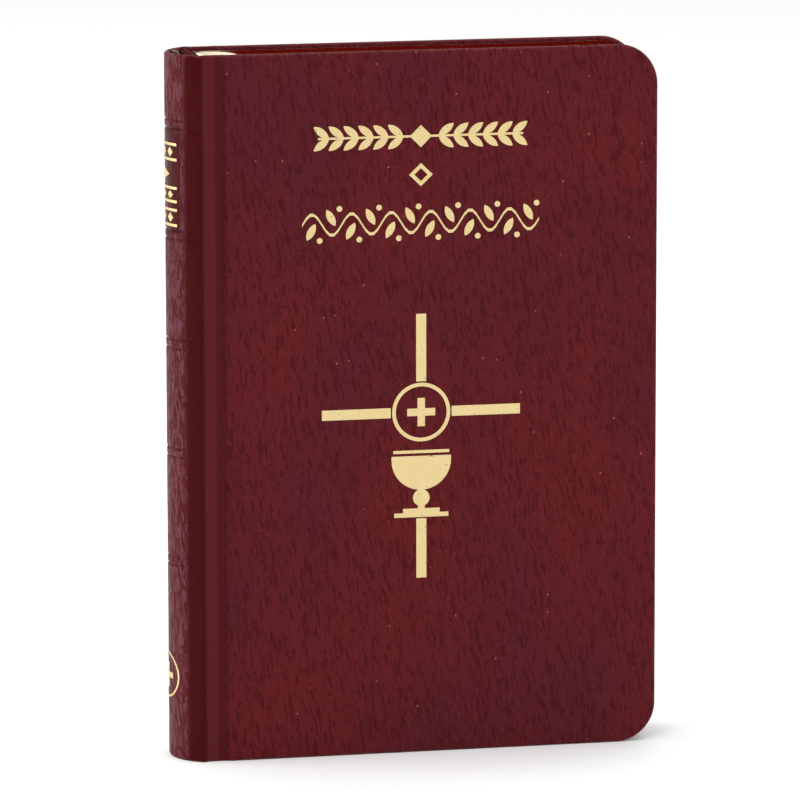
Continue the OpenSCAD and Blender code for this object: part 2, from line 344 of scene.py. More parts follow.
def rounded_point(x, z, inset, corner, low=0.0, high=HEAD, end_x=FORE):
    """Bends a point of a square-cornered sheet so that its two fore-edge corners are round.

    x and z are places on the square sheet, already set in by inset.
    """
    radius = max(corner - inset, 1 * MM)
    middle, half = (low + high) / 2, (high - low) / 2 - inset
    across = (x - (end_x - inset - radius)) / radius
    along = (abs(z - middle) - (half - radius)) / radius
    if across > 0 and along > 0:
        bent = across * math.sqrt(max(0, 1 - along ** 2 / 2))
        along = along * math.sqrt(max(0, 1 - across ** 2 / 2))
        x = end_x - inset - radius + radius * bent
        z = middle + math.copysign(half - radius + radius * along, z - middle)
    return x, z


# ---- Leather skins ----

def groove_at(x, leather):
    """Depth of the joint groove at a distance across the cover."""
    into = (FILLET_X - 0.7 * MM, HINGE_X - 0.5 * MM)
    out_of = (BOARD_EDGE - 3.2 * MM, BOARD_EDGE - 0.6 * MM)
    return leather.groove * smoothstep(*into, x) * (1 - smoothstep(*out_of, x))


def wall_at(x):
    """Thickness of the finished edge of the case at a distance across it."""
    thinning = (FILLET_X - 3 * MM, FILLET_X - 0.5 * MM)
    thickening = (BOARD_EDGE - 1.6 * MM, BOARD_EDGE - 0.2 * MM)
    if x < HINGE_X:
        return SPINE_WALL + (JOINT_WALL - SPINE_WALL) * smoothstep(*thinning, x)
    return JOINT_WALL + (BOARD_WALL - JOINT_WALL) * smoothstep(*thickening, x)


def cover_skin(name, side, leather):
    """The leather of one cover: its face, rounded edges and turned-in margin."""
    inset = leather.edge
    corner_start = FORE - leather.corner
    joint_spacing = 0.45 * MM
    corner_spacing = leather.spacing * 0.7
    columns = steps(SEAM_X, (BOARD_EDGE, joint_spacing), (corner_start, leather.spacing),
                    (FORE - inset, corner_spacing))
    rows = steps(inset, (leather.corner, corner_spacing),
                 (HEAD - leather.corner, leather.spacing), (HEAD - inset, corner_spacing))
    middle, half = HEAD / 2, HEAD / 2
    wave_height, wave_length = 0.02 * MM, 9 * MM
    line_x, line_width, line_depth = BOARD_EDGE + 0.6 * MM, 0.9 * MM, 0.03 * MM

    def surface(x, z):
        """Distance of the face from the middle: slightly wavy, with a faint board edge."""
        lift = wave_height * noise.noise(Vector((x, side * 0.03, z)) / wave_length)
        board_line = line_depth * math.exp(-((x - line_x) / line_width) ** 2)
        return FACE - leather.sink - groove_at(x, leather) + lift - board_line

    def face_point(x, z):
        x, z = rounded_point(x, z, inset, leather.corner)
        return Vector((x, side * surface(x, z), z))

    def ring_point(start, ring):
        old_radius = leather.corner - inset
        radius = max(leather.corner - ring.inset, 1 * MM)
        old_reach = FORE - leather.corner - SEAM_X
        reach = FORE - ring.inset - radius - SEAM_X
        old_rise = half - leather.corner
        rise = half - ring.inset - radius
        x, z = start.x, start.z
        beyond = x - (SEAM_X + old_reach)
        above = abs(z - middle) - old_rise
        sign = math.copysign(1, z - middle)
        if beyond <= 0:
            x = SEAM_X + (x - SEAM_X) * reach / old_reach
            z = middle + sign * (half - ring.inset)
        elif above <= 0:
            x = FORE - ring.inset
            z = middle + (z - middle) * rise / old_rise
        else:
            x = SEAM_X + reach + beyond * radius / old_radius
            z = middle + sign * (rise + above * radius / old_radius)
        depth = abs(start.y) - ring.through * wall_at(x)
        return Vector((x, side * depth, z))

    skin = grid_sheet(name, columns, rows, face_point)
    wrap_edge(skin, lambda co: co.x > SEAM_X + 1e-6, edge_rings(inset, leather.turn_in), ring_point)
    if side > 0:
        flip(skin)
    apply_modifier(skin, "SOLIDIFY", thickness=leather.thickness, offset=-1)
    finish_mesh(skin)
    return skin


def spine_profile():
    """Points and outward directions across the spine, from the front seam to the back one."""
    fillet_y = FACE - FILLET
    turn = math.atan2(ARC_CENTRE - FILLET_X, fillet_y)
    half = math.pi / 2 - turn
    fillet_steps, arc_step = 6, 0.055
    front = []
    for i in range(fillet_steps):
        angle = turn * i / fillet_steps
        out = Vector((-math.sin(angle), -math.cos(angle), 0))
        front.append((Vector((FILLET_X, -fillet_y, 0)) + out * FILLET, out))
    arc = []
    for angle in steps(half, (-half, arc_step)):
        out = Vector((-math.cos(angle), -math.sin(angle), 0))
        arc.append((Vector((ARC_CENTRE, 0, 0)) + out * ARC_RADIUS, out))
    back = [(Vector((p.x, -p.y, 0)), Vector((n.x, -n.y, 0))) for p, n in reversed(front)]
    return front + arc + back


def rule_heights(leather):
    return [leather.rule_lowest + i * leather.rule_pitch + side * leather.rule_gap / 2
            for i in range(leather.rule_count) for side in (-1, 1)]


def spine_rows(leather):
    """Heights of the rows of points up the spine, closer together at the tooled lines."""
    fine = [height + k * leather.rule_width * 0.45
            for height in rule_heights(leather) for k in range(-4, 5)]
    coarse = steps(leather.edge, (HEAD - leather.edge, leather.spacing))
    kept = [z for z in coarse if min(abs(z - f) for f in fine) > leather.spacing * 0.4]
    return sorted(fine + kept)


def spine_skin(leather):
    profile = spine_profile()
    rules = rule_heights(leather)
    wave_height, wave_length = 0.025 * MM, 6 * MM

    def surface(index, z):
        point, out = profile[index]
        tooled = sum(math.exp(-((z - rule) / leather.rule_width) ** 2) for rule in rules)
        lift = wave_height * noise.noise((point + Vector((0, 0, z))) / wave_length)
        from_seam = abs(point.x - SEAM_X)
        fade = smoothstep(0, 3 * MM, from_seam)
        tooled *= smoothstep(0.2 * MM, 2.4 * MM, from_seam)
        sink = leather.sink + leather.rule_depth * min(1, tooled) - lift * fade
        return point - out * (sink + groove_at(point.x, leather)) + Vector((0, 0, z))

    def ring_point(start, ring):
        nearest = min(profile, key=lambda item: (item[0] - Vector((start.x, start.y, 0))).length)
        end = math.copysign(1, start.z - HEAD / 2)
        z = HEAD / 2 + end * (HEAD / 2 - ring.inset)
        spot = start - nearest[1] * ring.through * wall_at(start.x)
        return Vector((spot.x, spot.y, z))

    skin = grid_sheet("spine_skin", list(range(len(profile))), spine_rows(leather), surface)
    wrap_edge(skin, lambda co: min(co.z, HEAD - co.z) < leather.edge + 1e-6,
              edge_rings(leather.edge, leather.spine_turn_in), ring_point)
    face_out(skin)
    apply_modifier(skin, "SOLIDIFY", thickness=leather.thickness, offset=-1)
    finish_mesh(skin)
    return skin


# ---- Shader building ----

STRIPE_SPAN = 4 * 12.8 * MM         # the headband's stripes repeat four wraps at a time
# The pale patch of painted highlight on the heads of the leaves: its middle, and its reach either
# way
PATCH_X, PATCH_WIDTH = -43.9 * MM, 5.2 * MM
PATCH_Y, PATCH_LENGTH = -1.5 * MM, 7.6 * MM

DEEP_GOLD = (0.62, 0.42, 0.16, 1)
AGED_PAPER = (0.62, 0.48, 0.30, 1)
SHADED_LINEN = (0.36, 0.28, 0.18, 1)
SILK_GLEAM = (0.09, 0.008, 0.007, 1)

# Scales of the grain, in cells to a metre; the wrinkles are longest along the height
STREAK_SCALE = (1400, 1400, 270)
PIT_SCALE = (3600, 3600, 1300)
CREASE_SCALE = (620, 620, 190)
PATCH_SCALE = 120
MOTTLE_SCALE = 38
SPECK_SCALE = 330.0
BEND_SCALE = 420
BEND_REACH = 0.0011
LEAN = (0, math.radians(9), 0)


def put(tree, kind, inputs=None, **settings):
    """Adds a node, sets it up and links or fills its inputs."""
    node = tree.nodes.new("ShaderNode" + kind)
    for key, value in settings.items():
        setattr(node, key, value)
    for key, value in (inputs or {}).items():
        if isinstance(value, bpy.types.NodeSocket):
            tree.links.new(value, node.inputs[key])
        else:
            node.inputs[key].default_value = value
    return node


def maths(tree, operation, first, second=0.0, third=0.0):
    values = {0: first, 1: second, 2: third}
    return put(tree, "Math", values, operation=operation).outputs[0]


def times(tree, first, second):
    return maths(tree, "MULTIPLY", first, second)


def less(tree, value, share=1.0):
    """One minus a share of a value."""
    return maths(tree, "SUBTRACT", 1.0, value if share == 1.0 else times(tree, value, share))


def ramp(tree, value, low, high, to_low=0.0, to_high=1.0):
    """A soft step of value between low and high."""
    return put(tree, "MapRange", {"Value": value, "From Min": low, "From Max": high,
                                  "To Min": to_low, "To Max": to_high},
               interpolation_type="SMOOTHSTEP").outputs["Result"]


def mix(tree, share, first, second):
    return put(tree, "Mix", {0: share, 6: first, 7: second}, data_type="RGBA").outputs[2]


def split(tree, vector):
    return put(tree, "SeparateXYZ", {0: vector}).outputs


def stretch(tree, vector, scale, turn=(0, 0, 0)):
    """The pattern's own coordinates: places in metres times scale, turned first."""
    turned = put(tree, "Mapping", {"Vector": vector, "Rotation": turn}, vector_type="POINT")
    return put(tree, "Mapping", {"Vector": turned.outputs[0], "Scale": scale},
               vector_type="POINT").outputs[0]


def bands(tree, vector, scale, detail=3.0, channel="Fac"):
    noise_node = put(tree, "TexNoise", {"Vector": vector, "Scale": scale, "Detail": detail})
    return noise_node.outputs[channel]


def new_group(name, outputs):
    tree = bpy.data.node_groups.new(name, "ShaderNodeTree")
    tree.interface.new_socket("Place", in_out="INPUT", socket_type="NodeSocketVector")
    for label in outputs:
        tree.interface.new_socket(label, in_out="OUTPUT", socket_type="NodeSocketFloat")
    place = tree.nodes.new("NodeGroupInput").outputs["Place"]
    return tree, place, tree.nodes.new("NodeGroupOutput")


def place_group(tree, group, place):
    node = tree.nodes.new("ShaderNodeGroup")
    node.node_tree = group
    tree.links.new(place, node.inputs["Place"])
    return node.outputs


def wrinkled_grain():
    """Upright wrinkles of a thin skin: relief, dark valleys, slow mottling and pale specks."""
    tree, place, result = new_group("Wrinkled grain", ("Relief", "Valley", "Mottle", "Speck"))
    # every pattern is bent by a slow one, by about a millimetre
    bend = bands(tree, place, BEND_SCALE, 2, "Color")
    offset = put(tree, "VectorMath", {0: bend, 1: (0.5, 0.5, 0.5)}, operation="SUBTRACT")
    shifted = put(tree, "VectorMath", {0: offset.outputs[0], 1: (BEND_REACH,) * 3, 2: place},
                  operation="MULTIPLY_ADD").outputs[0]
    streaks = bands(tree, stretch(tree, shifted, STREAK_SCALE, LEAN), 1.0, 2)
    pits = bands(tree, stretch(tree, shifted, PIT_SCALE, LEAN), 1.0, 2)
    creases = put(tree, "TexVoronoi",
                  {"Vector": stretch(tree, shifted, CREASE_SCALE, LEAN), "Scale": 1.0},
                  feature="DISTANCE_TO_EDGE").outputs["Distance"]
    patches = ramp(tree, bands(tree, place, PATCH_SCALE, 3), 0.40, 0.62)
    crest = times(tree, ramp(tree, streaks, 0.34, 0.62), ramp(tree, creases, 0.0, 0.10, 0.55, 1.0))
    relief = maths(tree, "ADD", crest, times(tree, ramp(tree, pits, 0.35, 0.6), 0.3))
    dash = less(tree, ramp(tree, streaks, 0.37, 0.46))
    crease = less(tree, ramp(tree, creases, 0.0, 0.07))
    crease = times(tree, crease, times(tree, patches, 0.85))
    mottle = bands(tree, stretch(tree, place, (1, 1, 0.6)), MOTTLE_SCALE, 4)
    dots = put(tree, "TexVoronoi", {"Vector": place, "Scale": SPECK_SCALE})
    near = less(tree, ramp(tree, dots.outputs["Distance"], 0.03, 0.11))
    rare = maths(tree, "GREATER_THAN", split(tree, dots.outputs["Color"])[0], 0.80)
    feed(tree, result, Relief=relief, Valley=maths(tree, "MAXIMUM", dash, crease),
         Mottle=ramp(tree, mottle, 0.3, 0.7), Speck=times(tree, near, rare))
    return tree


def paper_tooth():
    """Soft unevenness of paper: a tone and a fine relief."""
    tree, place, result = new_group("Paper tooth", ("Tone", "Relief"))
    cloud = bands(tree, place, 60, 4)
    fibre = bands(tree, stretch(tree, place, (1, 1, 0.35)), 2400, 3)
    tone = maths(tree, "ADD", ramp(tree, cloud, 0.3, 0.7, 0.0, 0.7), times(tree, fibre, 0.3))
    feed(tree, result, Tone=tone, Relief=fibre)
    return tree


def rubbed_gilt():
    """Where gilding is left, its relief, and where it is a deeper gold."""
    tree, place, result = new_group("Rubbed gilt", ("Left", "Relief", "Shade"))
    flecks = bands(tree, place, 2600, 3)
    scuffs = bands(tree, place, 420, 4)
    worn = maths(tree, "ADD", times(tree, flecks, 0.6), times(tree, scuffs, 0.4))
    feed(tree, result, Left=ramp(tree, worn, 0.335, 0.39), Relief=flecks,
         Shade=ramp(tree, scuffs, 0.35, 0.65))
    return tree


def new_material(name, place="rest", roughness=0.5, shine=0.5):
    """A material with an empty Principled shader, and the place on the piece that it reads."""
    material = bpy.data.materials.new(name)
    material.use_nodes = True
    tree = material.node_tree
    shader = tree.nodes["Principled BSDF"]
    shader.inputs["Roughness"].default_value = roughness
    shader.inputs["Specular IOR Level"].default_value = shine
    if place == "rest":
        spot = put(tree, "Attribute", attribute_name="rest").outputs["Vector"]
    else:
        spot = put(tree, "TexCoord").outputs["Object"]
    return material, tree, shader, spot


def set_bump(tree, shader, height, distance):
    bump = put(tree, "Bump", {"Height": height, "Distance": distance, "Strength": 1.0})
    tree.links.new(bump.outputs["Normal"], shader.inputs["Normal"])


def feed(tree, node, **sockets):
    """Links a value to each named input of a node."""
    for key, value in sockets.items():
        tree.links.new(value, node.inputs[key.replace("_", " ")])


def smooth_zones(tree, x, depth, z, leather):
    """Masks of the leather without grain: the burnished shoulders, whose dark colour is partly
    painted shade, and the spine's label.
    """
    shoulder = times(tree, ramp(tree, depth, 6.4 * MM, 7.9 * MM),
                     less(tree, ramp(tree, x, -45.0 * MM, -43.4 * MM)))
    low = leather.rule_lowest + 3 * leather.rule_pitch
    high = low + leather.rule_pitch
    label = times(tree, ramp(tree, z, low, low + 0.4 * MM),
                  less(tree, ramp(tree, z, high - 0.4 * MM, high)))
    label = times(tree, label, less(tree, ramp(tree, x, -50.2 * MM, -49.8 * MM)))
    label = times(tree, label, less(tree, ramp(tree, depth, 6.2 * MM, 6.5 * MM)))
    return maths(tree, "MAXIMUM", shoulder, times(tree, label, 0.9))


def leather_material(name, leather, groups):
    material, tree, shader, spot = new_material(name, shine=0.06)
    grain = place_group(tree, groups["grain"], spot)
    x, y, z = split(tree, spot)
    smooth = smooth_zones(tree, x, maths(tree, "ABSOLUTE", y), z, leather)
    rough = less(tree, smooth)
    # painted shade: a dark line where the groove of the joint meets the grain of the cover
    groove_shade = times(tree, ramp(tree, x, -45.9 * MM, -45.0 * MM),
                        less(tree, ramp(tree, x, -43.9 * MM, -42.6 * MM)))
    wear = put(tree, "Attribute", attribute_name="wear").outputs["Fac"]
    valley = times(tree, times(tree, grain["Valley"], 0.62), rough)
    tone = mix(tree, valley, mix(tree, grain["Mottle"], leather.red, leather.purple),
               leather.valley)
    # a dark smooth colour, partly painted shade for the shoulders, on the shoulders and the label;
    # a lighter smooth colour in the bottom of the joint
    joint = mix(tree, ramp(tree, x, -48.7 * MM, -47.7 * MM), leather.burnished, leather.pressed)
    tone = mix(tree, times(tree, smooth, 0.94), tone, joint)
    # painted shade along the edge of the joint groove
    tone = mix(tree, times(tree, groove_shade, 0.55), tone, leather.valley)
    tone = mix(tree, times(tree, grain["Speck"], times(tree, rough, 0.5)), tone, leather.speck)
    # pale edges: partly wear, partly a painted highlight on the rounded edges, strongest on the
    # crests of the grain
    rubbed = times(tree, wear, ramp(tree, grain["Relief"], 0.35, 1.1, 0.15, 0.75))
    tone = mix(tree, rubbed, tone, leather.worn)
    # painted highlight: crests of the grain near the back of the spine are mixed towards a pale
    # colour, standing for light on the relief
    crest = times(tree, ramp(tree, grain["Relief"], 0.55, 1.2, 0.0, 0.62),
                  ramp(tree, x, -52.4 * MM, -50.6 * MM, 1.0, 0.0))
    tone = mix(tree, times(tree, crest, rough), tone, leather.spine_crest_highlight)
    dullness = maths(tree, "MULTIPLY_ADD", valley, 0.18, 0.36)
    dullness = maths(tree, "SUBTRACT", dullness, times(tree, smooth, 0.10))
    feed(tree, shader, Base_Color=tone, Roughness=dullness)
    set_bump(tree, shader, times(tree, grain["Relief"], less(tree, smooth, 0.9)), leather.grain)
    return material


def foil_material(name, foil, leather, groups):
    material, tree, shader, spot = new_material(name, "object")
    gilt = place_group(tree, groups["gilt"], spot)
    grain = place_group(tree, groups["grain"], spot)
    deep = mix(tree, 0.5, foil, DEEP_GOLD)
    gold = mix(tree, times(tree, gilt["Shade"], 0.45), foil, deep)
    feed(tree, shader, Base_Color=mix(tree, gilt["Left"], leather.valley, gold),
         Metallic=times(tree, gilt["Left"], 0.85),
         Roughness=ramp(tree, gilt["Relief"], 0.3, 0.7, 0.5, 0.34))
    relief = maths(tree, "MULTIPLY_ADD", grain["Relief"], 0.6, gilt["Relief"])
    set_bump(tree, shader, relief, 0.04 * MM)
    return material


def paper_material(name, colour_value, groups, place="rest", roughness=0.85, dye=None):
    """Paper; a dye is the edge colour, which has crept in a little from head and tail."""
    material, tree, shader, spot = new_material(name, place, roughness)
    paper = place_group(tree, groups["paper"], spot)
    shade = mix(tree, 0.35, colour_value, AGED_PAPER)
    tone = mix(tree, times(tree, paper["Tone"], 0.4), colour_value, shade)
    if dye:
        x, _, z = split(tree, spot)
        reach = maths(tree, "ABSOLUTE", maths(tree, "SUBTRACT", z, HEAD / 2))
        end = PAGES_HIGH.z - HEAD / 2
        crept = times(tree, ramp(tree, reach, end - 0.6 * MM, end - 0.3 * MM),
                      ramp(tree, x, -39.5 * MM, -38.5 * MM))
        tone = mix(tree, crept, tone, dye)
    feed(tree, shader, Base_Color=tone)
    set_bump(tree, shader, paper["Relief"], 0.02 * MM)
    return material


def gilt_edge_material(name, pages, place="rest"):
    """Red burnished edges of the leaves with rubbed gold over them."""
    material, tree, shader, spot = new_material(name, place, shine=0.0)
    leaf = bands(tree, stretch(tree, spot, (60, 9000, 60)), 1.0, 2)
    line = ramp(tree, leaf, 0.38, 0.6)
    fleck = bands(tree, stretch(tree, spot, (500, 2600, 500)), 1.0, 3)
    gold = times(tree, ramp(tree, fleck, 0.62, 0.78), line)
    gold = ramp(tree, gold, 0.1, 0.8, 0.0, 0.6)
    # near the folds a painted highlight: the head takes the paper colour in a patch with a round
    # edge
    x, y, z = split(tree, spot)
    across = maths(tree, "DIVIDE", maths(tree, "SUBTRACT", x, PATCH_X), PATCH_WIDTH)
    along = maths(tree, "DIVIDE", maths(tree, "SUBTRACT", y, PATCH_Y), PATCH_LENGTH)
    reach = maths(tree, "ADD", times(tree, across, across), times(tree, along, along))
    head_highlight = times(tree, ramp(tree, reach, 1.12, 0.92), ramp(tree, z, 0.10, 0.12))
    edge = mix(tree, gold, pages.red_edge, pages.gilt)
    feed(tree, shader, Base_Color=mix(tree, head_highlight, edge, pages.paper),
         Roughness=ramp(tree, line, 0.0, 1.0, 0.55, 0.38))
    set_bump(tree, shader, line, 0.03 * MM)
    return material


def woven_material(name, colour_value, pitch, gap, place="object", between=SHADED_LINEN):
    """Plain-woven cloth or gauze with threads running along Y and Z."""
    material, tree, shader, spot = new_material(name, place, 0.8, shine=0.1)
    across = split(tree, spot)
    threads = []
    for socket in (across[1], across[2]):
        wave = maths(tree, "SINE", times(tree, socket, 2 * math.pi / pitch))
        threads.append(ramp(tree, maths(tree, "ABSOLUTE", wave), gap, 0.9))
    weave = maths(tree, "MAXIMUM", threads[0], threads[1])
    feed(tree, shader, Base_Color=mix(tree, weave, between, colour_value))
    set_bump(tree, shader, weave, 0.08 * MM)
    return material


def striped_silk_material(name, trim, groups):
    material, tree, shader, spot = new_material(name, "rest", 0.45, shine=0.0)
    y = split(tree, spot)[1]
    turns = times(tree, y, trim.wraps / STRIPE_SPAN)
    stripe = ramp(tree, maths(tree, "SINE", times(tree, turns, 2 * math.pi)), -0.15, 0.15)
    paper = place_group(tree, groups["paper"], spot)
    silk = mix(tree, times(tree, paper["Tone"], 0.3), trim.silk, SILK_GLEAM)
    feed(tree, shader, Base_Color=mix(tree, stripe, silk, trim.stripe))
    set_bump(tree, shader, paper["Relief"], 0.03 * MM)
    return material


def shared_groups():
    """The three patterns, made the first time they are asked for."""
    makers = {"grain": ("Wrinkled grain", wrinkled_grain), "paper": ("Paper tooth", paper_tooth),
              "gilt": ("Rubbed gilt", rubbed_gilt)}
    return {key: bpy.data.node_groups.get(name) or make() for key, (name, make) in makers.items()}


def shared_material(name, make, *given, **options):
    """The material of that name, made the first time it is asked for."""
    return bpy.data.materials.get(name) or make(name, *given, **options)


# ---- Operators ----

# Name, place, size of the square in metres, power in watts
LIGHTS = (
    ("Key light", (-0.9, -1.5, 1.5), 1.2, 15), ("Fill light", (1.3, -1.2, 0.8), 1.4, 7),
    ("Spine light", (-1.6, 0.3, 0.6), 0.9, 15), ("Top light", (0.1, 0.4, 1.9), 1.3, 12),
)


def area_light(name, place, target, size, power):
    deselect_all()
    bpy.ops.object.light_add(type="AREA", location=place)
    light = name_piece(name)
    light.data.shape = "SQUARE"
    light.data.size = size
    light.data.energy = power
    light.rotation_euler = (Vector(target) - Vector(place)).to_track_quat("-Z", "Y").to_euler()


class PRAYERBOOK_OT_stage(bpy.types.Operator):
    """Adds the camera, the pale floor and the soft lights"""
    bl_idname = "prayerbook.stage"
    bl_label = "Stage"

    def execute(self, context):
        stage = context.scene.prayerbook_stage
        deselect_all()
        bpy.ops.object.camera_add(location=stage.place)
        camera = context.object
        camera.name = "Camera"
        camera.data.sensor_width = 36
        camera.data.lens = stage.focal
        camera.data.clip_start = 0.05
        camera.data.clip_end = 20
        aim = Matrix.Rotation(-stage.yaw, 4, "Z") \
            @ Matrix.Rotation(math.pi / 2 - stage.pitch, 4, "X") \
            @ Matrix.Rotation(-stage.roll, 4, "Z")
        camera.rotation_euler = aim.to_euler()
        context.scene.camera = camera
        context.scene.view_settings.view_transform = "Standard"

        bpy.ops.mesh.primitive_plane_add(size=9, location=(0, 1.5, 0))
        floor = name_piece("floor")
        bpy.ops.object.transform_apply(location=True)
        material, tree, shader, spot = new_material("Pale floor", "object", 0.9)
        cloud = bands(tree, spot, 3, 2)
        dim = tuple(c * 0.97 for c in stage.floor[:3]) + (1,)
        feed(tree, shader, Base_Color=mix(tree, cloud, stage.floor, dim))
        floor.data.materials.append(material)

        world = bpy.data.worlds.new("Soft studio")
        world.use_nodes = True
        world.node_tree.nodes["Background"].inputs["Color"].default_value = (1, 1, 1, 1)
        world.node_tree.nodes["Background"].inputs["Strength"].default_value = stage.sky
        context.scene.world = world

        heart = (0, 0, HEAD / 2)
        for name, place, size, power in LIGHTS:
            area_light(name, place, heart, size, power)
        return {"FINISHED"}


def bend_with_cover(piece):
    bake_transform(piece)


class PRAYERBOOK_OT_covers(bpy.types.Operator):
    """Makes the leather skins of the front and back covers, with rounded and turned-in edges"""
    bl_idname = "prayerbook.covers"
    bl_label = "Cover leather"

    def execute(self, context):
        leather = context.scene.prayerbook_leather
        material = shared_material("Burgundy grained leather", leather_material, leather,
                                   shared_groups())
        for name, side in (("front", -1), ("back", 1)):
            skin = cover_skin(name + "_cover_skin", side, leather)
            paint(skin, "cover_leather", material)
            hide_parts(name + "_cover_leather")
            bend_with_cover(skin)
        return {"FINISHED"}


class PRAYERBOOK_OT_spine(bpy.types.Operator):
    """Makes the rounded spine leather with its tooled lines and turned-in ends"""
    bl_idname = "prayerbook.spine"
    bl_label = "Spine leather"

    def execute(self, context):
        leather = context.scene.prayerbook_leather
        material = shared_material("Burgundy grained leather", leather_material, leather,
                                   shared_groups())
        skin = spine_skin(leather)
        paint(skin, "spine_leather", material)
        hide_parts("spine_leather")
        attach(skin, "spine")
        return {"FINISHED"}


def leaf_corner(context):
    return context.scene.prayerbook_leather.corner - (FORE - PAGES_HIGH.x)


def leaf_sheet(name, start_x, thickness, corner):
    """One leaf with round fore-edge corners, standing at Y 0."""
    low, high = PAGES_LOW.z, PAGES_HIGH.z
    end = PAGES_HIGH.x
    reach = end - BEND_X
    columns = steps(start_x, (BEND_X + 5 * MM, 0.6 * MM), (BEND_X + 0.4 * reach, 6 * MM),
                    (end - corner, 12 * MM), (end, 1.3 * MM))
    rows = steps(low, (low + corner, 1.3 * MM), (high - corner, 16 * MM), (high, 1.3 * MM))

    def place(x, z):
        x, z = rounded_point(x, z, 0.0, corner, low, high, end)
        return Vector((x, 0, z))

    sheet = grid_sheet(name, columns, rows, place)
    apply_modifier(sheet, "SOLIDIFY", thickness=thickness, offset=0)
    return sheet


def bind_leaves(piece, node, slot, paper, gilt):
    """Finishes leaves and gilds their narrow outer faces."""
    finish_mesh(piece, 30)
    paint(piece, slot, paper, gilt)
    for polygon in piece.data.polygons:
        polygon.material_index = 1 if abs(polygon.normal.y) < 0.5 else 0
    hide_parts(node)
    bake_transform(piece)


class PRAYERBOOK_OT_sections(bpy.types.Operator):
    """Makes the thin leaves of every section, fanned from their folds, with gilt edges"""
    bl_idname = "prayerbook.sections"
    bl_label = "Sections of leaves"

    def execute(self, context):
        pages = context.scene.prayerbook_pages
        paper = shared_material("Thin cream paper", paper_material, pages.paper,
                                shared_groups(), dye=pages.red_edge)
        gilt = shared_material("Gilt leaf edges", gilt_edge_material, pages)
        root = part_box("section_folds")[1].x - 0.5 * MM
        corner = leaf_corner(context)
        for number in range(1, SECTION_COUNT + 1):
            node = f"section_{number}"
            low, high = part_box(node)
            middle = (low.y + high.y) / 2
            pitch = (high.y - low.y) / pages.leaves
            leaves = []
            for i in range(pages.leaves):
                leaf = leaf_sheet(f"leaf_{number}_{i}", root, pitch * pages.leaf_share, corner)
                off = (i + 0.5) * pitch - (high.y - low.y) / 2
                leaf.data.transform(Matrix.Translation((0, off, 0)))
                leaves.append(leaf)
            section = join(leaves, node + "_leaves")
            for vertex in section.data.vertices:
                spread = smoothstep(BEND_X, BEND_X + FAN_LENGTH, vertex.co.x)
                share = FOLD_SHARE + (1 - FOLD_SHARE) * spread
                vertex.co.y = middle + vertex.co.y * share
            bind_leaves(section, node, "gilt_pages", paper, gilt)
        return {"FINISHED"}


class PRAYERBOOK_OT_flyleaves(bpy.types.Operator):
    """Makes the two flyleaves and the endpaper strips that cross the inner joints"""
    bl_idname = "prayerbook.flyleaves"
    bl_label = "Flyleaves and joint papers"

    def execute(self, context):
        pages = context.scene.prayerbook_pages
        paper = shared_material("Cream endpaper", paper_material, pages.endpaper,
                                shared_groups(), dye=pages.red_edge)
        gilt = shared_material("Gilt leaf edges", gilt_edge_material, pages)
        corner = leaf_corner(context)
        for name, side in (("front", -1), ("back", 1)):
            node = name + "_flyleaf"
            low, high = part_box(node)
            middle = (low.y + high.y) / 2
            leaf = leaf_sheet(node + "_sheet", low.x - 0.12 * MM, high.y - low.y, corner)
            leaf.data.transform(Matrix.Translation((0, middle, 0)))
            bind_leaves(leaf, node, "endpaper", paper, gilt)
            self.joint_paper(name, side, paper)
        return {"FINISHED"}

    def joint_paper(self, name, side, paper):
        """The part of the endpaper between the pasted half and the folds."""
        tips_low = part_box("endpaper_tips")[0]
        paste_low, paste_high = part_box(name + "_pastedown")
        inner = min(abs(paste_low.y), abs(paste_high.y))
        start = SEAM_X - 0.6 * MM
        columns = steps(start, (BOARD_EDGE + 0.5 * MM, 0.3 * MM))
        rows = steps(tips_low.z, (HEAD - tips_low.z, 16 * MM))

        def place(x, z):
            depth = inner - 0.01 * MM + 0.06 * MM * smoothstep(HINGE_X, BOARD_EDGE, x)
            return Vector((x, side * depth, z))

        strip = grid_sheet(name + "_joint_paper", columns, rows, place)
        if side > 0:
            flip(strip)
        apply_modifier(strip, "SOLIDIFY", thickness=JOINT_PAPER, offset=1)
        finish_mesh(strip, 30)
        paint(strip, "endpaper", paper)
        bend_with_cover(strip)


